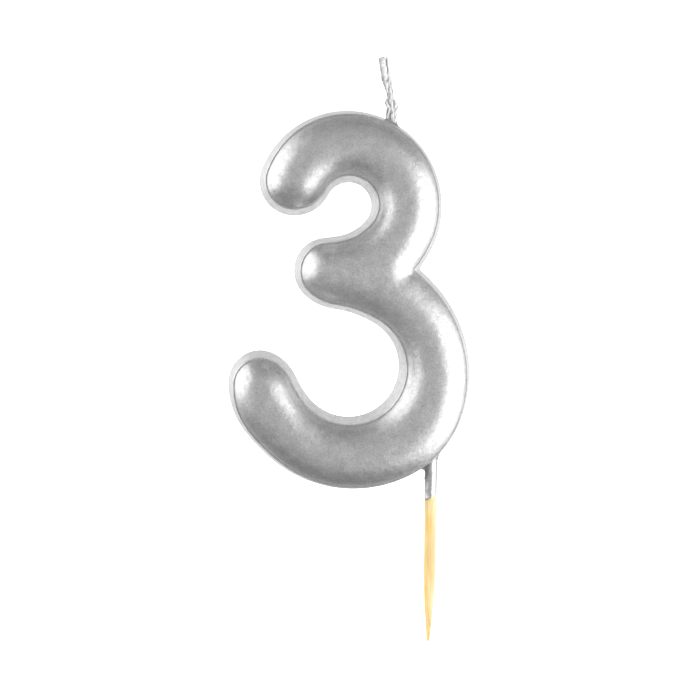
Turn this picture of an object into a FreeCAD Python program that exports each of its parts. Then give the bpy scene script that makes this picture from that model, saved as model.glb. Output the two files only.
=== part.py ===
import FreeCAD, Part
import math
import os

from FreeCAD import Vector

# A moulded wax number 3 with a metallic lacquer skin, a braided wick and a wooden cake pick.
# Millimetres. +Z is up along the pick, +X is to the right of a reader, -Y is the domed front.
# Y = 0 is the plane of the pick and the wick, half way through the side wall.
# Z = 0 is the number's lowest point, where the top of the cake comes when the pick is pushed home.

# ---- driving dimensions ----
NUMBER_HEIGHT = 70.0
CROWN_X = -16.1             # the number's highest point, left of the pick
WALL_DEPTH = 6.0            # side wall, from the flat back to the step at the front
WALL_DRAFT = 1.0            # the wall leans in by this much towards the front, to leave the mould
STEP_WIDTH = 0.2            # flat step between the wall and the dome
STROKE_HALF_WIDTH = 6.5     # half the width of the number's stroke at the back
DOME_HEIGHT = 4.2
DOME_FLAT = 0.85            # half width of the flat left on the dome's ridge
DOME_LEVELS = 6
COAT = 0.1                  # lacquer on the wax
WAIST_FILLET = 3.0          # hollow between the two bowls, at the right

# Back outline from the crown, counter-clockwise as the reader sees it: radius and sweep in degrees
# of each arc. Every arc is tangent to the next, and a negative radius is a hollow.
OUTLINE = [
    (16.8, 70.0),           # over the top to the upper tip
    (6.1, 94.0),            # upper tip
    (6.95, 79.5),           # under the upper tip
    (-4.25, 194.0),         # upper bay
    (-8.7, 38.0),           # upper bay, along the middle bar
    (-24.0, 6.5),
    (6.05, 130.5),          # middle bar's tip
    (9.7, 37.5),
    (-19.7, 23.5),          # under the middle bar
    (-9.4, 202.0),          # lower bay
    (-20.5, 12.5),
    (8.3, 43.0),            # over the lower tip
    (5.8, 110.5),           # lower tip
    (14.2, 38.0),
    (33.0, 13.5),           # lower left flank
    (23.5, 70.5),           # along the bottom
    (19.0, 41.0),
    (24.5, 66.0),           # up the right side to the waist
]

PICK_RADIUS = 1.06          # bare stretch that goes into the cake
SHANK_RADIUS = 1.0          # under the lacquer and in the wax
PICK_LENGTH = 60.0
PICK_TIP_Z = -28.3
LOW_POINT = [(0.15, 0.0), (0.27, 0.85), (0.70, 5.9), (PICK_RADIUS, 12.5)]   # radius, distance from the tip
HIGH_POINT = [(0.15, 0.0), (0.27, 0.85), (0.66, 5.9), (SHANK_RADIUS, 12.5)]
PICK_TAPER = 0.6            # length of the cone between the bare stretch and the shank
PICK_CLEARANCE = 0.02       # between the pick and the wax that it was cast in
SLEEVE_RADIUS = 1.1         # lacquer on the pick's dipped stretch
SLEEVE_END_LEFT = -1.7      # the dip line is slanted: its height at the left and right of the pick
SLEEVE_END_RIGHT = -0.3
SLEEVE_SUNK = 4.0           # the sleeve is drawn this far into the number, then cut flush with it
PICK_ENTRY_Z = 5.5          # where the axis of the pick leaves the wax

WICK_BASE = Vector(-8.25, 0.0, 67.7)
WICK_LEAN = 9.0             # degrees to the left of upright
WICK_FREE = 12.0            # length that stands out of the wax
WICK_EMBEDDED = 26.0
PLY_RADIUS = 0.32
BRAID_SWING = 0.60          # each ply's side to side swing about the wick's axis
BRAID_DEPTH = 0.46          # its front to back swing, two for each side swing
BRAID_PITCH = 8.4
PLY_POINTS = 14             # curve points in a pitch
CHANNEL_RADIUS = 1.05       # hole in the wax round the braid
CHANNEL_END_GAP = 0.2       # left under the wick's buried end
PLY_NAMES = ["wick_ply_left", "wick_ply_middle", "wick_ply_right"]

BEAD_HEIGHT = 0.9           # lacquer that ran together at the wick's and the pick's roots
BEAD_SPREAD = 0.45          # how far its foot reaches out from the hole
BEAD_RIM = 0.12             # its thickness at the top
BEAD_WAIST = 0.3            # its thickness at the middle of the hollow flank
BEAD_WAIST_HEIGHT = 0.315
BEAD_SUNK = 2.5             # drawn this far into the number, then cut flush with it
BEAD_FLANK_START = -0.1


# ---- the number's outline ----
def follow(x, z, heading, radius, sweep):
    """Three points of an arc that starts along heading, and the heading at its end."""
    centre_x = x - radius * math.sin(heading)
    centre_z = z + radius * math.cos(heading)
    turn = math.copysign(sweep, radius)
    points = [(x, z)]
    for part in (0.5, 1.0):
        angle = heading + turn * part
        points.append((centre_x + radius * math.sin(angle), centre_z - radius * math.cos(angle)))
    return points, heading + turn


def closed_chain():
    """The outline's arcs with the waist fillet and the upper bowl's back, which close it."""
    chain = [(radius, math.radians(sweep)) for radius, sweep in OUTLINE]
    x, z, heading = CROWN_X, NUMBER_HEIGHT, math.pi
    for radius, sweep in chain:
        points, heading = follow(x, z, heading, radius, sweep)
        x, z = points[-1]
    fillet_x = x + WAIST_FILLET * math.sin(heading)
    fillet_z = z - WAIST_FILLET * math.cos(heading)
    across = fillet_x - CROWN_X
    up = fillet_z - NUMBER_HEIGHT
    # the last arc is level at the crown and touches the fillet from outside
    back_radius = (across ** 2 + up ** 2 - WAIST_FILLET ** 2) / (2.0 * (WAIST_FILLET - up))
    touch = math.atan2(up + back_radius, across)
    fillet_sweep = (heading - touch - math.pi / 2.0) % (2.0 * math.pi)
    chain.append((-WAIST_FILLET, fillet_sweep))
    chain.append((back_radius, math.pi / 2.0 - touch))
    return chain


CHAIN = closed_chain()


def outline_wire(inset, y):
    """The outline moved inwards by inset, in the plane at depth y."""
    edges = []
    x, z, heading = CROWN_X, NUMBER_HEIGHT - inset, math.pi
    for radius, sweep in CHAIN:
        points, heading = follow(x, z, heading, radius - inset, sweep)
        start, middle, end = [Vector(px, y, pz) for px, pz in points]
        edges.append(Part.Arc(start, middle, end).toShape())
        x, z = points[-1]
    return Part.Wire(edges)


def number_solid(skin):
    """The number with every face moved inwards by skin: flat back, side wall, step and dome."""
    back_y = WALL_DEPTH / 2.0
    crease = WALL_DRAFT + STEP_WIDTH
    half = STROKE_HALF_WIDTH - crease
    dome_radius = (half ** 2 + DOME_HEIGHT ** 2) / (2.0 * DOME_HEIGHT)
    steepest = math.asin(half / dome_radius)
    flattest = math.asin(DOME_FLAT / dome_radius)
    wires = [outline_wire(skin, back_y - skin)]
    wires.append(outline_wire(WALL_DRAFT + skin, skin - back_y))
    for level in range(DOME_LEVELS):
        slope = steepest + (flattest - steepest) * level / (DOME_LEVELS - 1.0)
        inset = crease + half - (dome_radius - skin) * math.sin(slope)
        rise = (dome_radius - skin) * math.cos(slope) - dome_radius * math.cos(steepest)
        if level == 0:
            rise = -skin
        wires.append(outline_wire(inset, -back_y - rise))
    return Part.makeLoft(wires, True, True)


# ---- pick and wick ----
def turned(profile):
    """A solid turned about Z from edges in the XZ plane that start and end on the axis."""
    wire = Part.Wire(profile)
    axis = Part.makeLine(wire.OrderedVertexes[-1].Point, wire.OrderedVertexes[0].Point)
    return Part.Face(Part.Wire(profile + [axis])).revolve(Vector(0, 0, 0), Vector(0, 0, 1), 360)


def pick_solid(grow):
    """Round pick with two points, which bulge a little and end blunt. grow is added all round."""
    top = PICK_TIP_Z + PICK_LENGTH
    low = [Vector(radius + grow, 0, PICK_TIP_Z + along) for radius, along in LOW_POINT]
    high = [Vector(radius + grow, 0, top - along) for radius, along in HIGH_POINT]
    low[0].z -= grow
    high[0].z += grow
    bare_top = Vector(PICK_RADIUS + grow, 0, SLEEVE_END_LEFT - PICK_TAPER)
    shank_foot = Vector(SHANK_RADIUS + grow, 0, SLEEVE_END_LEFT)
    profile = [
        Part.makeLine(Vector(0, 0, low[0].z), low[0]),
        Part.makeLine(low[0], low[1]),
        Part.Arc(low[1], low[2], low[3]).toShape(),
        Part.makeLine(low[3], bare_top),
        Part.makeLine(bare_top, shank_foot),
        Part.makeLine(shank_foot, high[3]),
        Part.Arc(high[3], high[2], high[1]).toShape(),
        Part.makeLine(high[1], high[0]),
        Part.makeLine(high[0], Vector(0, 0, high[0].z)),
    ]
    return turned(profile)


def sleeve_solid(number):
    """Lacquer skin on the pick from the wax down to the slanted dip line."""
    length = PICK_ENTRY_Z - SLEEVE_END_LEFT + SLEEVE_SUNK
    sleeve = Part.makeCylinder(SLEEVE_RADIUS, length, Vector(0, 0, SLEEVE_END_LEFT))
    slant = math.degrees(math.atan2(SLEEVE_END_RIGHT - SLEEVE_END_LEFT, 2.0 * SLEEVE_RADIUS))
    size = 2.0 * length
    below = Part.makeBox(size, size, size, Vector(-size / 2.0, -size / 2.0, -size))
    below.rotate(Vector(0, 0, 0), Vector(0, 1, 0), -slant)
    below.translate(Vector(0, 0, (SLEEVE_END_LEFT + SLEEVE_END_RIGHT) / 2.0))
    return largest(sleeve.cut(pick_solid(0.0)).cut(below).cut(number))


def wick_direction():
    lean = math.radians(WICK_LEAN)
    return Vector(-math.sin(lean), 0, math.cos(lean))


def wick_channel():
    """Round hole in the wax that holds the braid."""
    foot = WICK_BASE - wick_direction() * (WICK_EMBEDDED + CHANNEL_END_GAP)
    return Part.makeCylinder(CHANNEL_RADIUS, WICK_EMBEDDED + WICK_FREE, foot, wick_direction())


def ply_solid(index):
    """One ply of the flat three-ply braid, a third of a pitch behind the one before."""
    up = wick_direction()
    side = Vector(up.z, 0, -up.x)
    depth = Vector(0, 1, 0)
    length = WICK_EMBEDDED + WICK_FREE
    count = int(PLY_POINTS * length / BRAID_PITCH)
    foot = WICK_BASE - up * WICK_EMBEDDED
    points = []
    for number in range(count + 1):
        along = length * number / count
        phase = 2.0 * math.pi * (along / BRAID_PITCH + index / 3.0)
        offset = side * (BRAID_SWING * math.sin(phase)) + depth * (BRAID_DEPTH * math.sin(2.0 * phase))
        points.append(foot + up * along + offset)
    curve = Part.BSplineCurve()
    curve.interpolate(points)
    rings = []
    for point in points:
        tangent = curve.tangent(curve.parameter(point))[0]
        rings.append(Part.Wire([ply_ring(point, tangent, side)]))
    return Part.makeLoft(rings, True, True)


def ply_ring(centre, tangent, side):
    """Circle square to the ply, whose seam stays on the same side from ring to ring."""
    seam = side - tangent * side.dot(tangent)
    circle = Part.Circle(centre, tangent, PLY_RADIUS)
    circle.XAxis = seam
    return circle.toShape()


def bead_solid(root, up, hole_radius, number):
    """Collar of lacquer with a hollow flank, round the wick or the pick where it leaves the wax."""
    foot = Vector(hole_radius + BEAD_SPREAD, 0, BEAD_FLANK_START)
    waist = Vector(hole_radius + BEAD_WAIST, 0, BEAD_WAIST_HEIGHT)
    rim = Vector(hole_radius + BEAD_RIM, 0, BEAD_HEIGHT)
    bottom = Vector(foot.x, 0, -BEAD_SUNK)
    profile = [
        Part.makeLine(Vector(0, 0, -BEAD_SUNK), bottom),
        Part.makeLine(bottom, foot),
        Part.Arc(foot, waist, rim).toShape(),
        Part.makeLine(rim, Vector(0, 0, BEAD_HEIGHT)),
    ]
    bead = turned(profile)
    bead.Placement = FreeCAD.Placement(root, FreeCAD.Rotation(Vector(0, 0, 1), up))
    below = root - up * (2.0 * BEAD_SUNK)
    hole = Part.makeCylinder(hole_radius, 4.0 * BEAD_SUNK, below, up)
    return largest(bead.cut(hole).cut(number))


def largest(shape):
    return max(shape.Solids, key=lambda solid: solid.Volume)


# ---- build ----
def build():
    number = number_solid(0.0)
    wax = number_solid(COAT)
    bore = pick_solid(PICK_CLEARANCE)
    coat_bore = Part.makeCylinder(SLEEVE_RADIUS + PICK_CLEARANCE, 2.0 * PICK_ENTRY_Z)
    nodes = {
        "wax_body": wax.cut(bore).cut(wick_channel()),
        "silver_coat": number.cut(wax).cut(coat_bore).cut(wick_channel()),
        "pick": pick_solid(0.0),
        "pick_sleeve": sleeve_solid(number),
        "wick_bead": bead_solid(WICK_BASE, wick_direction(), CHANNEL_RADIUS, number),
    }
    pick_root = Vector(0, 0, PICK_ENTRY_Z)
    hole_radius = SLEEVE_RADIUS + PICK_CLEARANCE
    nodes["pick_bead"] = bead_solid(pick_root, Vector(0, 0, -1), hole_radius, number)
    for index, name in enumerate(PLY_NAMES):
        nodes[name] = ply_solid(index)
    return nodes


def main():
    os.makedirs("parts", exist_ok=True)
    for name, shape in build().items():
        shape.exportStep("parts/%s.step" % name)
        box = shape.BoundBox
        print("%-16s solids %d  valid %s  volume %.1f mm3  X %.2f..%.2f  Y %.2f..%.2f  Z %.2f..%.2f" % (
            name, len(shape.Solids), shape.isValid(), shape.Volume,
            box.XMin, box.XMax, box.YMin, box.YMax, box.ZMin, box.ZMax))


main()
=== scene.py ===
import math

import bpy
import bmesh
import numpy as np
from mathutils import Matrix, Vector, geometry, noise


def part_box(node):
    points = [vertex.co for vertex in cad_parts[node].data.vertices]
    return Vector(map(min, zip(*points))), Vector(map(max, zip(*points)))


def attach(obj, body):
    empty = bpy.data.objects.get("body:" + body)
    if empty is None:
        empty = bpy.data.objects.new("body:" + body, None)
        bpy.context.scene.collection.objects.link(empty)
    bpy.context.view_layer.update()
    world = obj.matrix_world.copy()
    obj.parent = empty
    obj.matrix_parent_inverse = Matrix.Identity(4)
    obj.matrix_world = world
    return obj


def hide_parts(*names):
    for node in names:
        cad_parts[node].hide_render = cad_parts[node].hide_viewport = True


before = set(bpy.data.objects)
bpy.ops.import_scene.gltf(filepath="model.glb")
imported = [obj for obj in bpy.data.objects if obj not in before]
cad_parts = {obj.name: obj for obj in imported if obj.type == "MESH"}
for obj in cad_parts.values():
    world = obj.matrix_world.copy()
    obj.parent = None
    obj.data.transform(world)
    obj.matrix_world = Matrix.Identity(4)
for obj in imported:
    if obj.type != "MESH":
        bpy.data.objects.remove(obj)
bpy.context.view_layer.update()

# A silver lacquered wax number 3 on a wooden cake pick, built round its CAD frame.
# Shapes are worked out in millimetres, +Z up and -Y to the front, and written to meshes in metres.

MM = 0.001

COAT_LO, COAT_HI = [np.array(corner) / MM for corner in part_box("silver_coat")]
PICK_LO, PICK_HI = [np.array(corner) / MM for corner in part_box("pick")]
SLEEVE_LO, SLEEVE_HI = [np.array(corner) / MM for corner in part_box("pick_sleeve")]
BACK_Y = COAT_HI[1]                 # flat back
WALL_DEPTH = 6.0                    # side wall, from the back to the dome's edge
WALL_DRAFT = 1.0                    # how far the wall leans in over that depth
DOME_HEIGHT = 4.2
DOME_PROUD = 0.07                   # the ridge, before it is blended, is this far in front of the coat
WALL_FRONT_Y = COAT_LO[1] + DOME_HEIGHT - DOME_PROUD
STROKE_HALF_WIDTH = 6.5             # half the width of the number's stroke at the back
CREASE_INSET = 1.2                  # the dome starts this far inside the back outline
DOME_HALF_WIDTH = STROKE_HALF_WIDTH - CREASE_INSET
DOME_RADIUS = (DOME_HALF_WIDTH ** 2 + DOME_HEIGHT ** 2) / (2 * DOME_HEIGHT)
DOME_LEVEL = DOME_RADIUS - DOME_HEIGHT      # the arc's centre lies this far under the crease
DOME_BLEND = 0.85                   # the dome's ridge is rounded off over about this distance
SPACING = 0.33                      # between mesh points on the number
CORE_SPACING = SPACING * 2.0
CORE_UNDER = 0.15                   # the wax lies this far under the lacquer at the front

OUTLINE_PROUD = 0.05                # the skin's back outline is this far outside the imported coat's
WALL_WANDER = 0.06                  # slow unevenness of the side wall
WAIST_ARC = 7.0                     # stretch of each bowl that sets its arc at the waist
CREASE_CORNER = (1.3, 0.3)          # waist corner of the crease: crowding of its points, distance outside
OUTLINE_CORNER = (1.0, 0.15)        # the same of the back outline
VALLEY_TURN = math.radians(210)     # direction that the valley runs from the waist's corner
VALLEY_LENGTH = 2.8
VALLEY_WIDTH = 0.9
VALLEY_FLARE = 0.25                 # it widens by this much of the distance from the corner
VALLEY_DEPTH = 0.13                 # share of the dome's height

# flash and unevenness of the mould's edge: (x, z, height, width)
BURRS = [(-34.6, 11.0, 0.16, 0.4), (-7.0, 19.6, 0.12, 0.4), (-22.6, 64.2, 0.06, 0.5), (4.9, 26.0, 0.05, 0.6),
         (-31.6, 25.6, 0.12, 4.0), (-20.9, 16.3, 0.08, 3.0), (-31.3, 59.9, 0.05, 4.0)]
# (inset from the back outline, depth behind the front of the wall) from the back edge to the crease
WALL_PROFILE = [(0.72, 6.0), (0.42, 5.985), (0.2, 5.92), (0.07, 5.8), (0.02, 5.6), (0.09, 5.2), (0.18, 4.6),
                (0.28, 4.0), (0.38, 3.4), (0.48, 2.8), (0.58, 2.2), (0.68, 1.6), (0.78, 1.0), (0.87, 0.5),
                (0.93, 0.25), (0.98, 0.1), (1.03, 0.02), (1.07, 0.0), (1.12, 0.03), (CREASE_INSET, 0.09)]
CORE_PROFILE = [(0.9, 5.4), (0.45, 5.35), (0.32, 5.1), (0.5, 3.6), (0.8, 1.8), (1.05, 0.4), (1.25, 0.2),
                (1.35, 0.2)]
DOME_STEPS = [0.04, 0.1, 0.18, 0.29, 0.44, 0.63, 0.87, 1.15]    # insets of the loops next to the crease
# unevenness of the cast front and of its lacquer: (height, size of its lumps, seed)
FRONT_WAVES = [(0.07, 8.0, 1), (0.025, 2.6, 2), (0.006, 0.9, 5)]
BACK_SUNK = 0.22                    # the wax shrank by this much at the open back
BACK_WAVES = [(0.05, 5.0, 4), (0.012, 1.3, 6)]


# ---- mesh helpers ----
def make_object(name, points, faces, material):
    """A smooth shaded object from points in millimetres."""
    mesh = bpy.data.meshes.new(name)
    mesh.from_pydata([tuple(p) for p in np.asarray(points) * MM], [], faces)
    mesh.validate()
    mesh.materials.append(material)
    for face in mesh.polygons:
        face.use_smooth = True
    obj = bpy.data.objects.new(name, mesh)
    bpy.context.scene.collection.objects.link(obj)
    return obj


def outward(obj):
    """Turns the faces of a closed mesh outwards."""
    bm = bmesh.new()
    bm.from_mesh(obj.data)
    bmesh.ops.recalc_face_normals(bm, faces=bm.faces)
    bm.to_mesh(obj.data)
    bm.free()


def band(a, b, sides):
    """Faces between two closed rings of points that start at numbers a and b."""
    return [(a + k, a + (k + 1) % sides, b + (k + 1) % sides, b + k) for k in range(sides)]


def tube_faces(rings, sides):
    """Faces between rings of points that follow one another."""
    return [face for ring in range(rings - 1) for face in band(ring * sides, (ring + 1) * sides, sides)]


def hollow_faces(rings, sides):
    """Faces of a closed collar: its outer rings, then an inner ring at its last end and one at its first."""
    last, inner = (rings - 1) * sides, rings * sides
    faces = tube_faces(rings, sides) + band(last, inner, sides)
    return faces + band(inner, inner + sides, sides) + band(inner + sides, 0, sides)


def circle_angles(sides):
    return [2 * math.pi * k / sides for k in range(sides)]


def angle_between(a, b):
    """The turn from angle b to angle a, in -pi..pi."""
    return math.atan2(math.sin(a - b), math.cos(a - b))


def smooth_noise(points, scale, seed):
    """Perlin noise at (x, z) points, in about -1..1; scale is the size of its lumps in millimetres."""
    shift = Vector((seed * 17.3, seed * 5.1, seed * 9.7))
    return np.array([noise.noise(Vector((p[0], 0, p[1])) / scale + shift) for p in points])


def noise_round(a, reach, z, shift=0.0):
    """Noise that closes up round a circle: reach is the circle's radius in the noise."""
    return noise.noise(Vector((math.cos(a) * reach, math.sin(a) * reach + shift, z)))


# ---- the number's outline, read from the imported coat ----
def outline_from_coat():
    """The back outline of the silver coat as an even closed loop of (x, z), counter-clockwise."""
    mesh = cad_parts["silver_coat"].data
    points = np.array([v.co for v in mesh.vertices]) / MM
    key = [tuple(np.round(p, 3)) for p in points]
    on_back = np.abs(points[:, 1] - BACK_Y) < 1e-3
    count = {}
    for face in mesh.polygons:
        ids = list(face.vertices)
        if not all(on_back[i] for i in ids):
            continue
        for a, b in zip(ids, ids[1:] + ids[:1]):
            edge = frozenset((key[a], key[b]))
            count[edge] = count.get(edge, 0) + 1
    follow = {}
    for edge in (e for e, n in count.items() if n == 1 and len(e) == 2):
        a, b = tuple(edge)
        follow.setdefault(a, []).append(b)
        follow.setdefault(b, []).append(a)
    loops, seen = [], set()
    for start in sorted(follow):
        if start in seen:
            continue
        loop, here = [], start
        while here is not None:
            seen.add(here)
            loop.append(here)
            here = next((p for p in follow[here] if p not in seen), None)
        loops.append(loop)
    loop = max(loops, key=len)
    return even_loop(np.array([(p[0], p[2]) for p in loop]), SPACING)


def even_loop(points, spacing):
    """A closed loop with even spacing, smoothed a little, counter-clockwise."""
    x, z = points[:, 0], points[:, 1]
    if (x * np.roll(z, -1) - z * np.roll(x, -1)).sum() < 0:
        points = points[::-1]
    for _ in range(3):
        closed = np.vstack([points, points[:1]])
        run = np.r_[0, np.cumsum(np.hypot(*np.diff(closed, axis=0).T))]
        at = np.linspace(0, run[-1], int(run[-1] / spacing) + 1)[:-1]
        points = np.c_[np.interp(at, run, closed[:, 0]), np.interp(at, run, closed[:, 1])]
        for weight in (0.5, -0.52) * 3:
            points = points + weight * ((np.roll(points, 1, 0) + np.roll(points, -1, 0)) / 2 - points)
    return points


def inward_normals(loop):
    """Unit vectors towards the inside of a counter-clockwise loop."""
    along = np.roll(loop, -1, 0) - np.roll(loop, 1, 0)
    along /= np.linalg.norm(along, axis=1)[:, None]
    return np.c_[-along[:, 1], along[:, 0]]


def waist_run(loop):
    """Index numbers of the hollow at the right, between the two bowls."""
    along = np.roll(loop, -1, 0) - loop
    before = np.roll(along, 1, 0)
    hollow = before[:, 0] * along[:, 1] - before[:, 1] * along[:, 0] < 0
    runs, current = [], []
    start = int(np.argmax(loop[:, 1]))
    for step in range(len(loop)):
        i = (start + step) % len(loop)
        if hollow[i]:
            current.append(i)
        elif current:
            runs.append(current)
            current = []
    runs = [run for run in runs if len(run) > 5]
    return max(runs, key=lambda run: loop[run, 0].mean())


def circle_through(points):
    """Centre and radius of the circle that fits the points best."""
    table = np.c_[2 * points, np.ones(len(points))]
    cx, cz, rest = np.linalg.lstsq(table, (points ** 2).sum(1), rcond=None)[0]
    return np.array((cx, cz)), math.sqrt(rest + cx * cx + cz * cz)


def sharpened(loop, run, spread, spare):
    """The loop with its waist hollow drawn in to a corner, spare outside where the two bowls' arcs cross.
    A spread above 1 crowds the hollow's points towards the corner."""
    count = len(loop)
    reach = int(WAIST_ARC / SPACING)
    first, last = run[0] - 2, run[-1] + 2
    below, below_r = circle_through(loop[[(first - k) % count for k in range(reach)]])
    above, above_r = circle_through(loop[[(last + k) % count for k in range(reach)]])
    gap = above - below
    apart = np.linalg.norm(gap)
    along = (apart ** 2 + (below_r + spare) ** 2 - (above_r + spare) ** 2) / (2 * apart)
    off = math.sqrt(max(0.0, (below_r + spare) ** 2 - along ** 2))
    square = np.array((gap[1], -gap[0])) / apart
    corners = [below + gap / apart * along + square * off * sign for sign in (1, -1)]
    middle = loop[run[len(run) // 2] % count]
    corner = min(corners, key=lambda c: np.linalg.norm(c - middle))
    moved = loop.copy()
    size = last - first
    low, high = loop[first % count], loop[last % count]
    for k in range(size + 1):
        t = 2 * k / size - 1
        t = math.copysign(abs(t) ** spread, t)
        centre, radius = (below, below_r) if t < 0 else (above, above_r)
        end = low if t < 0 else high
        point = corner + (end - corner) * abs(t)
        out = (point - centre) / np.linalg.norm(point - centre)
        moved[(first + k) % count] = centre + out * (radius + spare * (1 - abs(t)))
    for _ in range(2):
        part = [(first + k) % count for k in range(-1, size + 2)]
        held = moved[part]
        moved[part[1:-1]] = (held[:-2] + 2 * held[1:-1] + held[2:]) / 4
    return moved


def inside(loop, points):
    """Which points are inside the closed loop, by counting crossings to the right."""
    result = np.zeros(len(points), bool)
    for (x0, z0), (x1, z1) in zip(loop, np.roll(loop, -1, 0)):
        crosses = (z0 > points[:, 1]) != (z1 > points[:, 1])
        if z0 != z1:
            at = x0 + (points[:, 1] - z0) * (x1 - x0) / (z1 - z0)
            result ^= crosses & (points[:, 0] < at)
    return result


def distance_to(loop, points):
    """Distance from each point to the nearest of the loop's points."""
    result = np.empty(len(points))
    for start in range(0, len(points), 2000):
        part = points[start:start + 2000]
        gap = part[:, None, :] - loop[None, :, :]
        result[start:start + 2000] = np.sqrt((gap ** 2).sum(2).min(1))
    return result


def filled(loop, spacing):
    """Triangles that fill a loop: (extra points, faces). Faces number the loop's points first."""
    lo, hi = loop.min(0), loop.max(0)
    rows = np.arange(lo[1], hi[1], spacing * math.sqrt(0.75))
    columns = np.arange(lo[0], hi[0], spacing)
    grid = np.array([(x + (i % 2) * spacing / 2, z) for i, z in enumerate(rows) for x in columns])
    grid = grid[inside(loop, grid)]
    too_near = spacing * 0.62
    grid = grid[distance_to(loop, grid) > too_near]
    count = len(loop)
    points = [Vector(p) for p in np.vstack([loop, grid])]
    edges = [(i, (i + 1) % count) for i in range(count)]
    made = geometry.delaunay_2d_cdt(points, edges, [], 1, 1e-7)
    back = [origin[0] if origin else -1 for origin in made[3]]
    faces = [tuple(back[i] for i in face) for face in made[2]]
    return grid, [f for f in faces if min(f) >= 0]


def blended(points, faces, edge_count, profile, reach):
    """Smooths profile over about reach on a flat triangle mesh, and keeps the first edge_count points at 0.
    It solves the mesh's diffusion equation by conjugate gradients."""
    tri = np.array(faces)
    rows, cols, values = [], [], []
    area = np.zeros(len(points))
    corner = points[tri]
    double = np.abs(np.cross(corner[:, 1] - corner[:, 0], corner[:, 2] - corner[:, 0]))
    for k in range(3):
        i, j, o = tri[:, k], tri[:, (k + 1) % 3], tri[:, (k + 2) % 3]
        u, v = points[i] - points[o], points[j] - points[o]
        bond = (u * v).sum(1) / np.maximum(double, 1e-9) / 2
        rows += [i, j]
        cols += [j, i]
        values += [bond, bond]
        np.add.at(area, i, double / 6)
    rows, cols, values = np.concatenate(rows), np.concatenate(cols), np.concatenate(values)
    diagonal = np.bincount(rows, values, len(points))
    free = np.arange(len(points)) >= edge_count

    weight = area / reach ** 2

    def apply(q):
        q = np.where(free, q, 0)
        pulled = (diagonal + weight) * q - np.bincount(rows, values * q[cols], len(points))
        return np.where(free, pulled, 0)

    target = np.where(free, weight * profile, 0)
    scale = np.where(free, 1 / np.maximum(diagonal + weight, 1e-9), 0)
    q = np.where(free, profile, 0)
    left = target - apply(q)
    step = scale * left
    power = left @ step
    for _ in range(900):
        moved = apply(step)
        size = power / (step @ moved)
        q += size * step
        left -= size * moved
        ready = scale * left
        fresh = left @ ready
        if fresh < 1e-12 * (target @ target + 1e-30):
            break
        step = ready + fresh / power * step
        power = fresh
    return q


def even_dense(loop):
    """The loop with three more points on each of its steps, for measuring distances."""
    after = np.roll(loop, -1, 0)
    return np.vstack([loop + (after - loop) * part for part in (0, 0.25, 0.5, 0.75)])


def dome_rise(q):
    """Height of a round dome, for q = half width squared less the squared distance from the ridge."""
    q = np.maximum(q, 0)
    return np.sqrt(DOME_LEVEL ** 2 + q) - DOME_LEVEL


def wall_loops(profile, spacing, ripple):
    """The side wall's loop of (x, z) at each place in the profile, and the waist's corner on the last one."""
    outline = even_loop(outline_from_coat(), spacing)
    inwards = inward_normals(outline)
    wander = smooth_noise(outline, 9.0, 3) * WALL_WANDER * ripple
    run = waist_run(outline)
    crease_inset = profile[-1][0]
    crease = sharpened(outline + inwards * crease_inset, run, *CREASE_CORNER)
    outline = sharpened(outline, run, *OUTLINE_CORNER) - inwards * OUTLINE_PROUD
    for x, z, height, width in BURRS:
        away = np.hypot(outline[:, 0] - x, outline[:, 1] - z)
        outline = outline - inwards * (height * np.exp(-(away / width) ** 2))[:, None]
    share = (crease - outline) / crease_inset
    loops = []
    for inset, _ in profile:
        strayed = (wander * (0.3 + 0.7 * inset))[:, None]
        loops.append(outline + share * inset + inwards * strayed)
    return loops, loops[-1][run[len(run) // 2]]


def waist_valley(points, corner):
    """Depth, 0 to 1, of the valley between the two bowls' domes, which runs in from the waist's corner."""
    run_x, run_z = math.cos(VALLEY_TURN), math.sin(VALLEY_TURN)
    reach = (points - corner) @ np.array((run_x, run_z))
    aside = (points - corner) @ np.array((-run_z, run_x))
    width = VALLEY_WIDTH + VALLEY_FLARE * np.abs(reach)
    return np.exp(-(aside / width) ** 2 - (reach / VALLEY_LENGTH) ** 2)


def inflated_front(crease, corner, spacing, ripple):
    """The dome inside the crease: its (x, z) points, the crease's first, how high each rises, and faces."""
    count = len(crease)
    inwards = inward_normals(crease)
    steps = [s for s in DOME_STEPS if s >= spacing * 0.1]
    loops = [crease] + [crease + inwards * s for s in steps]
    inner, inner_faces = filled(loops[-1], spacing)
    flat = np.vstack(loops + [inner])
    faces = []
    for ring in range(len(steps)):
        a, b = ring * count, (ring + 1) * count
        for i in range(count):
            j = (i + 1) % count
            faces += [(a + i, a + j, b + i), (a + j, b + j, b + i)]
    base = len(steps) * count
    faces += [tuple(base + i for i in face) for face in inner_faces]
    away = np.minimum(distance_to(even_dense(crease), flat), DOME_HALF_WIDTH)
    away[:count] = 0
    q = blended(flat, faces, count, away * (2 * DOME_HALF_WIDTH - away), DOME_BLEND)
    rise = dome_rise(q)
    rise = rise * (1 - VALLEY_DEPTH * waist_valley(flat, corner))
    fade = np.clip(rise / 1.5, 0, 1)
    waves = sum(height * smooth_noise(flat, scale, seed) for height, scale, seed in FRONT_WAVES)
    return flat, rise + ripple * fade * waves, faces


def sunken_back(edge, spacing, ripple):
    """The open cast back inside its edge loop: extra (x, z) points, how deep each lies, and faces."""
    points, faces = filled(edge, spacing * 1.3)
    away = distance_to(edge, points)
    broad, fine = [height * smooth_noise(points, scale, seed) for height, scale, seed in BACK_WAVES]
    sink = BACK_SUNK * (1 - np.exp(-away / 1.6)) + broad * np.clip(away / 2, 0, 1) + fine * np.clip(away, 0, 1)
    return points, ripple * sink, faces


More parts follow.
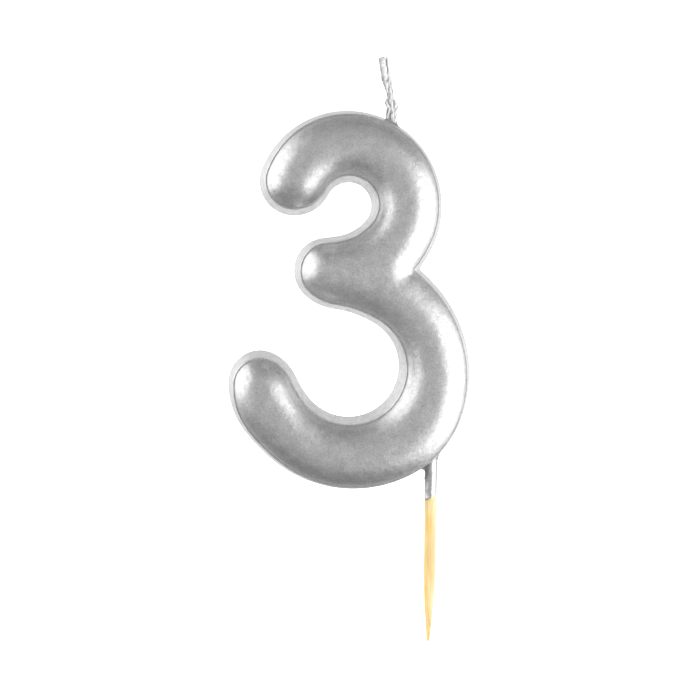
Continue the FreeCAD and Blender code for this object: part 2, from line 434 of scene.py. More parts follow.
def number_mesh(name, material, profile, under, spacing, ripple):
    """A closed number: the profile's loops, an inflated front and a slightly sunken back.
    under lowers the front, and ripple scales its unevenness."""
    loops, corner = wall_loops(profile, spacing, ripple)
    count = len(loops[0])
    flat, rise, front_faces = inflated_front(loops[-1], corner, spacing, ripple)
    front_y = WALL_FRONT_Y + profile[-1][1] + under - rise
    points = [np.c_[loop[:, 0], WALL_FRONT_Y + np.full(count, depth), loop[:, 1]]
              for loop, (_, depth) in zip(loops, profile)]
    points.append(np.c_[flat[count:, 0], front_y[count:], flat[count:, 1]])
    first = (len(loops) - 1) * count
    faces = tube_faces(len(loops), count)
    faces += [tuple(first + i for i in face) for face in front_faces]
    behind, sink, back_faces = sunken_back(loops[0], spacing, ripple)
    start = sum(len(part) for part in points)
    points.append(np.c_[behind[:, 0], WALL_FRONT_Y + profile[0][1] - sink, behind[:, 1]])
    faces += [tuple(i if i < count else start + i - count for i in reversed(face)) for face in back_faces]
    obj = make_object(name, np.vstack(points), faces, material)
    outward(obj)
    return obj


# ---- materials ----
def new_material(name):
    material = bpy.data.materials.new(name)
    material.use_nodes = True
    tree = material.node_tree
    shader = tree.nodes["Principled BSDF"]
    place = tree.nodes.new("ShaderNodeTexCoord")
    return material, tree, shader, place.outputs["Object"]


def node(tree, kind, inputs=None, **settings):
    made = tree.nodes.new(kind)
    for key, value in settings.items():
        setattr(made, key, value)
    for key, value in (inputs or {}).items():
        if hasattr(value, "is_output"):
            tree.links.new(value, made.inputs[key])
        else:
            made.inputs[key].default_value = value
    return made


def noise_at(tree, place, scale_mm, detail=2.0, stretch=None, rough=0.5):
    """Noise with lumps of about scale_mm; a stretch below 1 on an axis draws them out along it."""
    if stretch:
        place = node(tree, "ShaderNodeMapping", {"Vector": place, "Scale": stretch}).outputs["Vector"]
    made = node(tree, "ShaderNodeTexNoise", {"Vector": place, "Scale": 1000.0 / scale_mm, "Detail": detail,
                                             "Roughness": rough})
    return made.outputs["Fac"]


def ramp(tree, fac, stops):
    """A colour that follows fac through (position, colour) stops."""
    made = node(tree, "ShaderNodeValToRGB", {"Fac": fac})
    made.color_ramp.interpolation = "EASE"
    elements = made.color_ramp.elements
    while len(elements) < len(stops):
        elements.new(0.5)
    for element, (position, colour) in zip(elements, stops):
        element.position = position
        element.color = colour if len(colour) == 4 else tuple(colour) + (1.0,)
    return made.outputs["Color"]


def grey(value):
    return (value, value, value, 1.0)


def mixed(tree, fac, a, b, blend="MIX"):
    made = node(tree, "ShaderNodeMix", data_type="RGBA", blend_type=blend)
    for key, value in (("Factor", fac), ("A", a), ("B", b)):
        socket = [s for s in made.inputs if s.name == key and s.enabled][0]
        if hasattr(value, "is_output"):
            tree.links.new(value, socket)
        else:
            socket.default_value = value
    return [s for s in made.outputs if s.enabled][0]


def bumped(tree, shader, layers):
    """Adds bump layers (height socket, strength, distance in mm) one on another."""
    normal = None
    for height, strength, distance in layers:
        inputs = {"Height": height, "Strength": strength, "Distance": distance * MM}
        if normal is not None:
            inputs["Normal"] = normal
        normal = node(tree, "ShaderNodeBump", inputs).outputs["Normal"]
    tree.links.new(normal, shader.inputs["Normal"])


SPECKS_PER_METRE = 420.0            # cells along a line; each has one speck, mostly off the surface
SPECK_SIZE = 0.075                  # a speck's radius, as a share of its cell
# painted shade along an axis: (axis, start and end in millimetres, stops)
# the skin is painted darker along its back edge, a painted shade line, and the dipped sleeve is painted with
# darker stripes over its runs and lumps and a darker right edge, copying its shading
BACK_EDGE_SHADE = ("Y", 1.5, 3.0, [(0.0, 1.0), (0.35, 0.98), (0.8, 0.70), (1.0, 0.76)])
# painted shade across the dipped sleeve: darker stripes over its runs and lumps, and a darker right edge
SLEEVE_SHADE_BANDS = ("X", -1.2, 1.2, [(0.0, 0.9), (0.12, 0.75), (0.3, 0.78), (0.36, 1.0), (0.44, 0.8), (0.55, 1.0),
                         (0.75, 1.0), (0.83, 0.5)])


def silver_material(name, tone, rough, grain, shade_band):
    """Silver lacquer: a satin metal with fine flake, cloudy patches and small raised specks, each speck
    painted lighter as a glint.
    rough is its roughness, grain the strength of its bumps, and the last argument its painted shade along an
    axis."""
    material, tree, shader, place = new_material(name)
    flake = noise_at(tree, place, 0.3, 3.0, None, 0.65)
    blotch = noise_at(tree, place, 1.3, 3.0, None, 0.6)
    cloud = noise_at(tree, place, 5.0, 2.0)
    base = ramp(tree, flake, [(0.28, grey(tone * 0.8)), (0.5, grey(tone)), (0.74, grey(tone * 1.22))])
    blotchy = ramp(tree, blotch, [(0.3, grey(0.89)), (0.7, grey(1.02))])
    cloudy = ramp(tree, cloud, [(0.3, grey(0.95)), (0.7, grey(1.0))])
    base = mixed(tree, 1.0, base, blotchy, "MULTIPLY")
    base = mixed(tree, 1.0, base, cloudy, "MULTIPLY")
    axis, start, end, stops = shade_band
    along = node(tree, "ShaderNodeSeparateXYZ", {"Vector": place}).outputs[axis]
    along = node(tree, "ShaderNodeMapRange", {"Value": along, "From Min": start * MM, "From Max": end * MM})
    specks = node(tree, "ShaderNodeTexVoronoi", {"Vector": place, "Scale": SPECKS_PER_METRE,
                                                 "Randomness": 1.0})
    speck_height_and_glint = ramp(tree, specks.outputs["Distance"], [(0.0, grey(1.0)), (SPECK_SIZE, grey(0.0))])
    # each speck is painted lighter silver, a painted glint on the raised speck
    base = mixed(tree, speck_height_and_glint, base, grey(0.98))
    # painted shade along one axis, multiplied into the base colour
    shade_painted = ramp(tree, along.outputs["Result"], [(at, grey(value)) for at, value in stops])
    tree.links.new(mixed(tree, 1.0, base, shade_painted, "MULTIPLY"), shader.inputs["Base Color"])
    shader.inputs["Metallic"].default_value = 1.0
    worn = noise_at(tree, place, 1.1, 3.0)
    spread = ramp(tree, worn, [(0.3, grey(rough - 0.05)), (0.7, grey(rough + 0.07))])
    tree.links.new(spread, shader.inputs["Roughness"])
    bumped(tree, shader, [
        (noise_at(tree, place, 0.8, 3.0, None, 0.6), 0.8 * grain, 0.075),
        (flake, 0.5 * grain, 0.022),
        (speck_height_and_glint, 0.6 * grain, 0.03),
    ])
    return material


def wick_material():
    """Cotton plies soaked with silver lacquer, with painted shade: pale on the crests and the front, darker in
    the grooves and at the edges, darkest on the left.
    """
    material, tree, shader, place = new_material("wick_lacquered")
    painted_wick_shade = node(tree, "ShaderNodeAttribute", attribute_name="painted_wick_shade").outputs["Fac"]
    # the painted shade of the plies sets their tone: dark in the grooves and at the edges, pale on the crests
    tone = ramp(tree, painted_wick_shade, [(0.15, grey(0.32)), (0.5, grey(0.52)), (0.85, grey(0.9))])
    patch = noise_at(tree, place, 0.5, 3.0, None, 0.6)
    patchy = ramp(tree, patch, [(0.35, grey(0.8)), (0.62, grey(1.0))])
    tree.links.new(mixed(tree, 1.0, tone, patchy, "MULTIPLY"), shader.inputs["Base Color"])
    shader.inputs["Metallic"].default_value = 0.35
    shader.inputs["Roughness"].default_value = 0.45
    shader.inputs["Specular IOR Level"].default_value = 0.3
    shader.inputs["Specular Tint"].default_value = (0.6, 0.6, 0.6, 1.0)
    fibre = noise_at(tree, place, 0.16, 3.0, (1.0, 1.0, 0.3), 0.6)
    bumped(tree, shader, [(patch, 0.4, 0.06), (fibre, 0.4, 0.03)])
    return material


def wax_material():
    """Paraffin: milky, a little cloudy, and soft in the light."""
    material, tree, shader, place = new_material("wax_inside")
    cloud = noise_at(tree, place, 2.0, 3.0)
    colour = ramp(tree, cloud, [(0.3, (0.78, 0.77, 0.74)), (0.7, (0.88, 0.87, 0.84))])
    tree.links.new(colour, shader.inputs["Base Color"])
    shader.inputs["Roughness"].default_value = 0.5
    shader.inputs["Subsurface Weight"].default_value = 0.3
    shader.inputs["Subsurface Scale"].default_value = 0.002
    bumped(tree, shader, [(noise_at(tree, place, 0.4, 3.0), 0.3, 0.03)])
    return material


# darker spots of the wood: (centre, (width, height)) in millimetres
WOOD_STAINS = [((-0.2, -0.8, -6.0), (0.9, 3.0)), ((-0.8, -0.6, -20.5), (0.9, 4.0)),
               ((0.5, 0.8, -12.0), (0.8, 3.5)), ((-0.1, -0.3, -27.3), (0.8, 1.4))]


def wood_material():
    """Pale birch: long grain lines, darker patches and small fibres."""
    material, tree, shader, place = new_material("pick_birch")
    grain = noise_at(tree, place, 0.35, 4.0, (1.0, 1.0, 0.035), 0.6)
    patch = noise_at(tree, place, 1.6, 2.0, (1.0, 1.0, 0.12))
    fibre = noise_at(tree, place, 0.12, 3.0, (1.0, 1.0, 0.05), 0.7)
    colour = ramp(tree, grain, [(0.28, (0.70, 0.48, 0.20)), (0.5, (0.82, 0.66, 0.34)),
                                (0.72, (0.88, 0.77, 0.51))])
    darker = ramp(tree, patch, [(0.36, (0.88, 0.76, 0.58)), (0.6, (1.0, 1.0, 1.0))])
    colour = mixed(tree, 0.7, colour, darker, "MULTIPLY")
    # painted shade and light: the pick is painted darker and warmer on its left side and paler and bluer on
    # its right
    side = node(tree, "ShaderNodeSeparateXYZ", {"Vector": place}).outputs["X"]
    side = node(tree, "ShaderNodeMapRange", {"Value": side, "From Min": -MM, "From Max": MM}).outputs["Result"]
    side_shade = ramp(tree, side, [(0.1, (0.90, 0.80, 0.62)), (0.45, (1.0, 1.0, 1.0)),
                                  (0.8, (1.02, 1.05, 1.2))])
    colour = mixed(tree, 0.8, colour, side_shade, "MULTIPLY")
    for (x, y, z), (wide, tall) in WOOD_STAINS:
        spot = node(tree, "ShaderNodeMapping", {
            "Vector": place, "Location": (-x / wide, -y / wide, -z / tall),
            "Scale": (1000 / wide, 1000 / wide, 1000 / tall)})
        spot = spot.outputs["Vector"]
        near = node(tree, "ShaderNodeTexGradient", {"Vector": spot}, gradient_type="SPHERICAL")
        stain = ramp(tree, near.outputs["Fac"], [(0.0, (1.0, 1.0, 1.0)), (0.6, (0.99, 0.87, 0.60))])
        colour = mixed(tree, 0.9, colour, stain, "MULTIPLY")
    tree.links.new(colour, shader.inputs["Base Color"])
    shader.inputs["Roughness"].default_value = 0.55
    shader.inputs["Specular IOR Level"].default_value = 0.35
    bumped(tree, shader, [(grain, 0.35, 0.05), (fibre, 0.45, 0.03)])
    return material


# the skin's band paints shade along its back edge
silver = silver_material("silver_skin", 0.72, 0.42, 1.0, BACK_EDGE_SHADE)
silver_wick = wick_material()
# the dip's band paints shade across the sleeve and the beads
silver_dip = silver_material("silver_dip", 0.82, 0.32, 0.5, SLEEVE_SHADE_BANDS)
silver_dip.node_tree.nodes["Principled BSDF"].inputs["Specular Tint"].default_value = (0.7, 0.7, 0.7, 1.0)
wax = wax_material()
wood = wood_material()


# ---- the number ----
skin = number_mesh("number_skin", silver, WALL_PROFILE, 0.0, SPACING, 1.0)
core = number_mesh("number_core", wax, CORE_PROFILE, CORE_UNDER, CORE_SPACING, 0.0)


BORE_RADIUS = 1.14
BORE_SPARE = 0.3                    # left over the pick's upper point
BORE_POINT = 12.5                   # length of the hole's pointed end


def bore_cutter(radius, top):
    """Hole that the pick leaves in the wax: a round bore with a pointed end, uneven like a cast hole."""
    sides = 40
    shoulder = top - BORE_POINT
    stations = [(-6.0, radius), (2.0, radius), (5.0, radius)]
    stations += [(z, radius) for z in np.arange(6.0, shoulder, 1.5)]
    stations += [(shoulder, radius), (top - 6.0, radius * 0.72)]
    stations += [(top - 0.9, radius * 0.3), (top, radius * 0.1)]
    points = []
    for z, r in stations:
        for a in circle_angles(sides):
            grown = r * (1 + 0.012 * math.sin(3 * a + z))
            points.append((grown * math.cos(a), grown * math.sin(a), z))
    faces = tube_faces(len(stations), sides)
    faces += [tuple(reversed(range(sides))), tuple(range(len(points) - sides, len(points)))]
    return make_object("bore", points, faces, wax)


def cut(obj, cutter):
    """Takes the cutter's shape out of obj, and applies it."""
    change = obj.modifiers.new("bore", "BOOLEAN")
    change.operation = "DIFFERENCE"
    change.solver = "EXACT"
    change.object = cutter
    bpy.context.view_layer.update()
    graph = bpy.context.evaluated_depsgraph_get()
    mesh = bpy.data.meshes.new_from_object(obj.evaluated_get(graph))
    obj.modifiers.clear()
    obj.data = mesh


cutter = bore_cutter(BORE_RADIUS, PICK_HI[2] + BORE_SPARE)
for obj in (skin, core):
    cut(obj, cutter)
bpy.data.objects.remove(cutter)
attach(skin, "candle")
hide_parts("silver_coat")
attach(core, "candle")
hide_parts("wax_body")


# ---- swept pieces ----
def sweep(name, centres, side, depth, reach, material):
    """A closed tube. reach[i][k] is (across, deep) of the section's point k about centre i."""
    rings, sides = len(centres), len(reach[0])
    points = []
    for centre, section in zip(centres, reach):
        for across, deep in section:
            points.append(np.array(centre) + side * across + depth * deep)
    faces = tube_faces(rings, sides)
    ends = [np.mean(points[:sides], axis=0), np.mean(points[-sides:], axis=0)]
    low, high = len(points), len(points) + 1
    points += ends
    last = (rings - 1) * sides
    faces += [((k + 1) % sides, k, low) for k in range(sides)]
    faces += [(last + k, last + (k + 1) % sides, high) for k in range(sides)]
    obj = make_object(name, points, faces, material)
    outward(obj)
    return obj


# ---- the pick ----
PICK_RADIUS = PICK_HI[0]
PICK_FULLNESS = 1.03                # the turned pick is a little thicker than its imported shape
SHANK_RADIUS = 1.0                  # where it is dipped and in the wax
POINT_LENGTH = 14
# a pick's point: (distance from the tip, radius)
POINT_PROFILE = [(0.0, 0.05), (0.12, 0.16), (0.3, 0.23), (0.85, 0.31), (2.0, 0.43), (3.9, 0.58), (5.9, 0.72),
                 (8.0, 0.86), (10.2, 0.98), (12.5, 1.04), (14.0, 1.06)]
DIP_LINE = SLEEVE_LO[2] - PICK_LO[2]    # its lowest place, above the lower tip


def pick_piece():
    """Turned birch pick with two blunt points, a few whittled flats and raised grain."""
    length = PICK_HI[2] - PICK_LO[2]
    upper_point = length - POINT_LENGTH
    along = np.unique(np.r_[np.linspace(0, 1, 12), np.linspace(1, POINT_LENGTH, 80),
                            np.linspace(POINT_LENGTH, upper_point, 200),
                            np.linspace(upper_point, length - 1, 60), np.linspace(length - 1, length, 10)])
    reach, centres = [], []
    distance, radius = zip(*POINT_PROFILE)
    for t in along:
        near = min(t, length - t)
        r = np.interp(near, distance, radius) * PICK_RADIUS / radius[-1]
        r *= PICK_FULLNESS
        if t > DIP_LINE + 0.2:
            r = min(r, SHANK_RADIUS)
        section = []
        for a in circle_angles(72):
            grain = noise_round(a, 3.2, t * 0.05)
            fibre = noise_round(a, 9.0, t * 0.12 + 40)
            flat = 0.02 * math.cos(5 * a + 1.3) * np.clip(1 - near / 9, 0, 1)
            grown = r * (1 + flat) + (0.022 * grain + 0.012 * fibre) * min(1, r)
            section.append((grown * math.cos(a), grown * math.sin(a)))
        reach.append(section)
        bend = 0.05 * math.sin(t * 0.11)
        centres.append((bend * np.clip((DIP_LINE - t) / 10, 0, 1), 0.0, PICK_LO[2] + t))
    obj = sweep("birch_pick", centres, np.array((1.0, 0, 0)), np.array((0, 1.0, 0)), reach, wood)
    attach(obj, "pick")
    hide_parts("pick")
    return obj


SLEEVE_SLANT = 1.4                  # the dip line rises by this much to the right
SLEEVE_GRIP = 0.93                  # radius inside the film, sunk in the wood
FILM = 0.11                         # thickness of the lacquer
FILM_LEAST = 0.03
RIDGE_ANGLE = -1.68                 # a run of lacquer down the front
# (height, angle, size)
LUMPS = [(2.5, 2.9, 0.15), (1.5, 3.3, 0.11), (2.0, 2.3, 0.07), (3.6, 2.7, 0.08)]


def dip_edge(a):
    """Height of the slanted, slightly wavy lower edge at angle a."""
    slant = SLEEVE_LO[2] + SLEEVE_SLANT * (math.cos(a) + 1) / 2
    return slant + 0.12 * noise_round(a, 2, 3.0)


def film_thickness(a, z, t):
    """The wet film at angle a and height z: t is 0 at its lower edge and 1 at its top."""
    film = FILM * min(1, math.sqrt(t * 14)) + 0.03 * math.exp(-((t - 0.05) / 0.05) ** 2)
    film += 0.05 * noise_round(a, 1.6, z * 0.9)
    film += 0.07 * math.exp(-(angle_between(a, RIDGE_ANGLE) / 0.28) ** 2)
    for lump_z, lump_angle, size in LUMPS:
        away = angle_between(a, lump_angle)
        film += size * math.exp(-((z - lump_z) / 0.45) ** 2 - (away / 0.5) ** 2)
    return max(film, FILM_LEAST)


def sleeve_piece():
    """Lacquer dipped on the pick: a wet film with runs, and a slanted lower edge."""
    steps, angles = 40, circle_angles(72)
    top = SLEEVE_HI[2] - 0.4
    points = []
    for i in range(steps + 1):
        t = i / steps
        for a in angles:
            edge = dip_edge(a)
            z = edge + (top - edge) * t ** 1.3
            r = SHANK_RADIUS + film_thickness(a, z, t) if i > 0 else SHANK_RADIUS - 0.015
            points.append((r * math.cos(a), r * math.sin(a), z))
    points += [(SLEEVE_GRIP * math.cos(a), SLEEVE_GRIP * math.sin(a), top) for a in angles]
    points += [(SLEEVE_GRIP * math.cos(a), SLEEVE_GRIP * math.sin(a), dip_edge(a) + 0.02) for a in angles]
    faces = hollow_faces(steps + 1, len(angles))
    obj = make_object("dipped_sleeve", points, faces, silver_dip)
    outward(obj)
    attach(obj, "pick")
    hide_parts("pick_sleeve")


pick_piece().visible_glossy = False
sleeve_piece()


# ---- the wick ----
WICK_BASE = np.array((-8.25, 0.0, 67.7))
WICK_LEAN = math.radians(9.0)
WICK_UP = np.array((-math.sin(WICK_LEAN), 0.0, math.cos(WICK_LEAN)))
WICK_SIDE = np.array((math.cos(WICK_LEAN), 0.0, math.sin(WICK_LEAN)))
DEPTH = np.array((0.0, -1.0, 0.0))
STRAND_STEP = 0.07
STRAND_SIDES = 40
STRAND_ROUNDING = 0.3               # the cut end is rounded off over this length
CALM_HEIGHT = 8.2                   # above this the yarn is pressed flat, with less relief
# height above the wax, across to the right, forwards, half width, half depth
PLIES = {
    "wick_strand_left": ("wick_ply_left", [
        (-2.0, -0.3, 0.0, 0.42, 0.42), (0.0, -0.52, 0.05, 0.44, 0.42), (1.2, -0.66, 0.1, 0.46, 0.42),
        (1.9, -0.44, 0.2, 0.42, 0.40), (2.6, -0.30, 0.3, 0.42, 0.40), (3.3, -0.32, 0.2, 0.40, 0.38),
        (3.8, -0.44, 0.0, 0.42, 0.38), (4.3, -0.28, -0.1, 0.40, 0.36), (4.8, 0.10, -0.1, 0.38, 0.36),
        (5.5, 0.08, 0.1, 0.38, 0.36), (6.2, -0.06, 0.25, 0.42, 0.36), (6.9, -0.14, 0.3, 0.46, 0.36),
        (7.5, -0.30, 0.35, 0.54, 0.36), (8.4, -0.26, 0.3, 0.60, 0.38), (9.4, -0.22, 0.3, 0.62, 0.38),
        (10.6, -0.24, 0.3, 0.64, 0.40), (11.5, -0.26, 0.3, 0.64, 0.38), (12.1, -0.26, 0.3, 0.52, 0.28)]),
    "wick_strand_right": ("wick_ply_right", [
        (-2.0, 0.4, 0.0, 0.42, 0.42), (0.0, 0.50, 0.1, 0.42, 0.42), (1.0, 0.54, 0.2, 0.42, 0.40),
        (1.7, 0.66, 0.3, 0.42, 0.40), (2.3, 0.92, 0.2, 0.42, 0.40), (2.9, 0.98, 0.1, 0.44, 0.40),
        (3.5, 0.92, 0.0, 0.42, 0.38), (4.2, 0.80, 0.1, 0.40, 0.36), (4.8, 0.60, 0.1, 0.36, 0.34),
        (5.4, 0.58, 0.0, 0.36, 0.34), (6.2, 0.68, -0.05, 0.38, 0.34), (7.0, 0.72, -0.1, 0.38, 0.34),
        (8.0, 0.66, -0.1, 0.28, 0.30), (9.2, 0.64, 0.0, 0.24, 0.26), (10.6, 0.68, 0.0, 0.25, 0.26),
        (11.6, 0.70, 0.05, 0.24, 0.26), (12.1, 0.68, 0.05, 0.18, 0.2)]),
    "wick_strand_middle": ("wick_ply_middle", [
        (-2.0, 0.05, 0.2, 0.42, 0.42), (0.4, 0.05, 0.4, 0.40, 0.40), (1.3, 0.10, 0.45, 0.40, 0.38),
        (2.0, 0.34, 0.35, 0.38, 0.36), (2.8, 0.40, 0.3, 0.36, 0.34), (3.5, 0.26, 0.45, 0.36, 0.34),
        (4.2, 0.24, 0.45, 0.38, 0.34), (5.0, 0.42, 0.4, 0.34, 0.32), (5.8, 0.40, 0.4, 0.36, 0.34),
        (6.5, 0.34, 0.4, 0.34, 0.32), (7.3, 0.46, 0.3, 0.30, 0.28), (8.4, 0.44, 0.1, 0.22, 0.24),
        (9.6, 0.42, -0.1, 0.2, 0.24), (10.8, 0.42, -0.15, 0.2, 0.24), (11.7, 0.42, -0.1, 0.18, 0.2)]),
}


def smoothed(heights, table):
    """The table's columns at each height, with their corners rounded off."""
    kernel, half = np.hanning(11), 5
    columns = []
    for column in range(1, table.shape[1]):
        value = np.interp(heights, table[:, 0], table[:, column])
        padded = np.r_[np.full(half, value[0]), value, np.full(half, value[-1])]
        columns.append(np.convolve(padded, kernel / kernel.sum(), "valid"))
    return columns


def strand(name, replaced, stations, seed):
    """One lacquered ply: a flattened yarn with a twist, lumps and a rounded end.
    Its painted shade, 0 in the grooves and at the left edge to 1 on the crests of the front, is kept for the
    material."""
    table = np.array(stations)
    heights = np.arange(table[0, 0], table[-1, 0], STRAND_STEP)
    across, deep, half_width, half_depth = smoothed(heights, table)
    reach, centres, painted_wick_shade = [], [], []
    rounding = heights[-1] - STRAND_ROUNDING
    for i, u in enumerate(heights):
        end = math.sqrt(max(0.02, 1 - max(0, (u - rounding) / 0.32) ** 2))
        calm = 0.4 if u > CALM_HEIGHT else 1.0
        section = []
        for a in circle_angles(STRAND_SIDES):
            yarn = 0.055 * math.cos(3 * a + 4.2 * u + seed)
            lump = 0.16 * noise_round(a, 1.1, u * 1.5, seed * 7)
            fine = 0.03 * noise_round(a, 2.4, u * 3.6, seed * 3)
            raised = (yarn + lump + fine) * calm
            grown = 1 + raised
            # painted shade: paler where the ply faces front and back, darker at its edges and on its left,
            # darker in the grooves
            facing_shade = 0.08 + 0.75 * abs(math.sin(a)) ** 1.4 + 0.22 * math.cos(a)
            painted_wick_shade.append(facing_shade + 3.0 * raised)
            wide, deep_here = half_width[i] * end * grown, half_depth[i] * end * grown
            section.append((wide * math.cos(a), deep_here * math.sin(a)))
        reach.append(section)
        centres.append(WICK_BASE + WICK_UP * u + WICK_SIDE * across[i] + DEPTH * deep[i])
    obj = sweep(name, centres, WICK_SIDE, DEPTH, reach, silver_wick)
    layer = obj.data.attributes.new("painted_wick_shade", "FLOAT", "POINT")
    layer.data.foreach_set("value", np.clip(np.r_[painted_wick_shade, 0.5, 0.5], 0, 1))
    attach(obj, "candle")
    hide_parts(replaced)


for seed, (name, (replaced, stations)) in enumerate(PLIES.items()):
    strand(name, replaced, stations, seed)


# ---- beads of lacquer at the roots ----
def surface_height(x, y, upper):
    """Height of the number's side wall above or below (x, y), near the wick or the pick."""
    ends = np.roll(OUTLINE, -1, 0)
    hit = (OUTLINE[:, 0] <= x) != (ends[:, 0] <= x)
    a, b = OUTLINE[hit], ends[hit]
    heights = a[:, 1] + (x - a[:, 0]) * (b[:, 1] - a[:, 1]) / (b[:, 0] - a[:, 0])
    inset = (BACK_Y - y) * WALL_DRAFT / WALL_DEPTH
    return heights.max() - inset if upper else heights.min() + inset


BEAD_RIM = 0.05                     # thickness of a bead at its top
BEAD_SUNK = 0.06                    # its foot lies this far inside the number
BEAD_SKIRT = 0.6                    # and goes on this far under it, out of sight
BEAD_HOLLOW = 2.2                   # how hollow its flank is
LUMP_WIDTH = 0.6                    # radians


def bead(name, replaced, root, upper, lean, radius, height, spread, lumps):
    """Fillet of lacquer with a hollow flank, round the wick or the pick.
    Each lump is (angle, extra height, extra spread)."""
    steps, angles = 16, circle_angles(64)
    sign = 1.0 if upper else -1.0
    points = []
    for i in range(-1, steps + 1):
        t = max(i, 0) / steps
        for a in angles:
            uneven = 1 + 0.4 * noise_round(a, 1.1, root[2])
            lift, out = height * uneven, spread * uneven
            for lump_angle, more_lift, more_out in lumps:
                share = math.exp(-(angle_between(a, lump_angle) / LUMP_WIDTH) ** 2)
                lift += more_lift * share
                out += more_out * share
            r = radius + BEAD_RIM + out * (1 - t) ** BEAD_HOLLOW
            x, y = root[0] + r * math.cos(a), -r * math.sin(a)
            z = surface_height(x, y, upper) + sign * (lift * t - BEAD_SUNK)
            if i < 0:
                z -= sign * BEAD_SKIRT
            points.append((x - lean * sign * lift * t, y, z))
    grip = radius * 0.97
    for ring in (points[-len(angles):], points[:len(angles)]):
        for a, (_, _, z) in zip(angles, ring):
            x = root[0] + grip * math.cos(a) - lean * (z - root[2])
            points.append((x, -grip * math.sin(a), z - sign * 0.02))
    obj = make_object(name, points, hollow_faces(steps + 2, len(angles)), silver_dip)
    outward(obj)
    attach(obj, "candle")
    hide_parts(replaced)


OUTLINE = outline_from_coat()
bead("wick_root_bead", "wick_bead", WICK_BASE, True, math.tan(WICK_LEAN), 0.95, 0.6, 0.45,
     [(2.6, 0.5, 0.5), (0.4, 0.35, 0.2)])
bead("pick_root_bead", "pick_bead", np.array((0.0, 0.0, 5.5)), False, 0.0, 1.16, 0.45, 0.4,
     [(3.3, 0.55, 0.55), (0.1, 0.5, 0.15)])


# ---- stage ----
def stage_material(name, glow, shade):
    """Matt white paper that glows a little, so that it stays pale."""
    material = bpy.data.materials.new(name)
    material.use_nodes = True
    shader = material.node_tree.nodes["Principled BSDF"]
    shader.inputs["Base Color"].default_value = grey(shade)
    shader.inputs["Roughness"].default_value = 1.0
    shader.inputs["Specular IOR Level"].default_value = 0.0
    shader.inputs["Emission Color"].default_value = (1, 1, 1, 1)
    shader.inputs["Emission Strength"].default_value = glow
    return material


def ring_mesh(name, stations, material):
    """A turned surface about Z from (radius, height) stations in metres, facing inwards and up."""
    sides = 96
    points, faces = [], []
    for radius, z in stations:
        points += [(radius * math.cos(a), radius * math.sin(a), z) for a in circle_angles(sides)]
    for ring in range(len(stations) - 1):
        a, b = ring * sides, (ring + 1) * sides
        faces += [(a + k, b + k, b + (k + 1) % sides, a + (k + 1) % sides) for k in range(sides)]
    faces.append(tuple(range(sides)))
    return make_object(name, np.array(points) / MM, faces, material)


FLOOR_Z = PICK_LO[2] * MM
FLOOR_RADIUS = 1.6                  # metres
SWEEP_RADIUS = 0.6                  # curve from the floor up into the backdrop
floor = ring_mesh("floor", [(0.02, FLOOR_Z), (FLOOR_RADIUS, FLOOR_Z)],
                  stage_material("floor_white", 0.9, 0.75))
shell = [(FLOOR_RADIUS, FLOOR_Z)]
shell += [(FLOOR_RADIUS + SWEEP_RADIUS * math.sin(a), FLOOR_Z + SWEEP_RADIUS * (1 - math.cos(a)))
          for a in np.linspace(0.1, math.pi / 2, 12)]
shell += [(FLOOR_RADIUS + SWEEP_RADIUS, 2.5), (1.2, 3.4), (0.01, 3.6)]
backdrop = ring_mesh("backdrop", shell, stage_material("backdrop_white", 1.1, 0.8))
for obj in (floor, backdrop):
    obj.visible_glossy = False
    obj.visible_diffuse = obj is floor
    obj.visible_shadow = False


# ---- light ----
CENTRE = Vector((float((COAT_LO[0] + COAT_HI[0]) / 2), 0.0, 35.0)) * MM     # middle of the number


def softbox(name, towards, distance, size, radiance, glossy=True):
    """A rectangular light in the direction towards, seen from the number's centre, in metres."""
    place = CENTRE + Vector(towards).normalized() * distance
    data = bpy.data.lights.new(name, "AREA")
    data.shape = "RECTANGLE"
    data.size, data.size_y = size
    data.energy = radiance * math.pi * size[0] * size[1]
    obj = bpy.data.objects.new(name, data)
    obj.location = place
    obj.rotation_euler = (CENTRE - place).to_track_quat("-Z", "Y").to_euler()
    obj.visible_glossy = glossy
    obj.visible_camera = False
    bpy.context.scene.collection.objects.link(obj)


softbox("softbox_left", (-0.94, 0.10, 0.27), 0.26, (0.373, 0.338), 1.5)
softbox("softbox_right", (0.97, -0.18, -0.18), 0.26, (0.468, 0.433), 1.68)
softbox("fill", (-0.1, -1.0, 0.35), 0.9, (0.9, 0.9), 0.7, glossy=False)

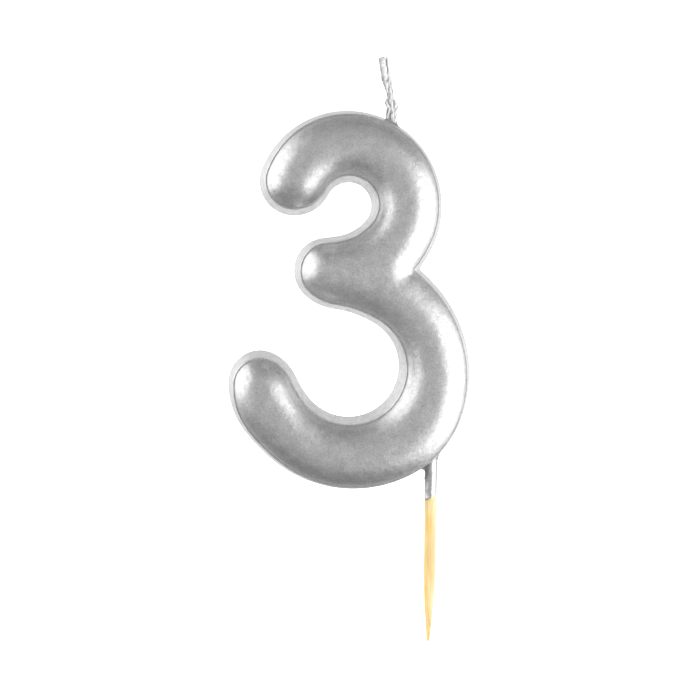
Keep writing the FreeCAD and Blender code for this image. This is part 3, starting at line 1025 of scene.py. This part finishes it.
# the studio round the number: darker at the sides, bright behind, and a glow from the floor behind it
world = bpy.data.worlds.new("studio")
bpy.context.scene.world = world
world.use_nodes = True
tree = world.node_tree
background = tree.nodes["Background"]
direction = node(tree, "ShaderNodeTexCoord").outputs["Generated"]
parts = node(tree, "ShaderNodeSeparateXYZ", {"Vector": direction})
turned = node(tree, "ShaderNodeMapRange", {"Value": parts.outputs["Y"], "From Min": -1.0, "From Max": 1.0})
depth_ramp = ramp(tree, turned.outputs["Result"], [(0.0, grey(0.58)), (0.5, grey(0.40)), (0.8, grey(0.42)),
                                                   (0.93, grey(1.1)), (0.975, grey(1.32)), (1.0, grey(0.7))])
raised = node(tree, "ShaderNodeMapRange", {"Value": parts.outputs["Z"], "From Min": -1.0, "From Max": 1.0})
height_ramp = ramp(tree, raised.outputs["Result"], [(0.0, grey(0.68)), (0.3, grey(0.92)), (0.5, grey(1.0)),
                                                    (1.0, grey(0.9))])
glow_behind = ramp(tree, turned.outputs["Result"], [(0.85, grey(0.0)), (0.95, grey(1.0))])
glow_low = ramp(tree, raised.outputs["Result"], [(0.22, grey(0.45)), (0.44, grey(0.0))])
sweep_glow = mixed(tree, 1.0, glow_behind, glow_low, "MULTIPLY")
studio = mixed(tree, 1.0, depth_ramp, height_ramp, "MULTIPLY")
tree.links.new(mixed(tree, 1.0, studio, sweep_glow, "ADD"), background.inputs["Color"])

# ---- camera ----
CAMERA_LENS = 80.53
CAMERA_PLACE = Vector((-29.83, -287.0, 45.30)) * MM     # in front, a little to the left and above the middle
CAMERA_FORWARD = Vector((0.05019, 0.99652, -0.06650))
CAMERA_UP = Vector((-0.01121, 0.06714, 0.99768))
camera_data = bpy.data.cameras.new("camera")
camera_data.lens = CAMERA_LENS
camera_data.sensor_width = 36.0
camera_data.clip_start, camera_data.clip_end = 0.01, 20.0
camera = bpy.data.objects.new("camera", camera_data)
forward = CAMERA_FORWARD.normalized()
right = forward.cross(CAMERA_UP).normalized()
up = right.cross(forward)
turn = Matrix((right, up, -forward)).transposed()
camera.matrix_world = Matrix.Translation(CAMERA_PLACE) @ turn.to_4x4()
bpy.context.scene.collection.objects.link(camera)
bpy.context.scene.camera = camera
bpy.context.scene.view_settings.view_transform = "Standard"
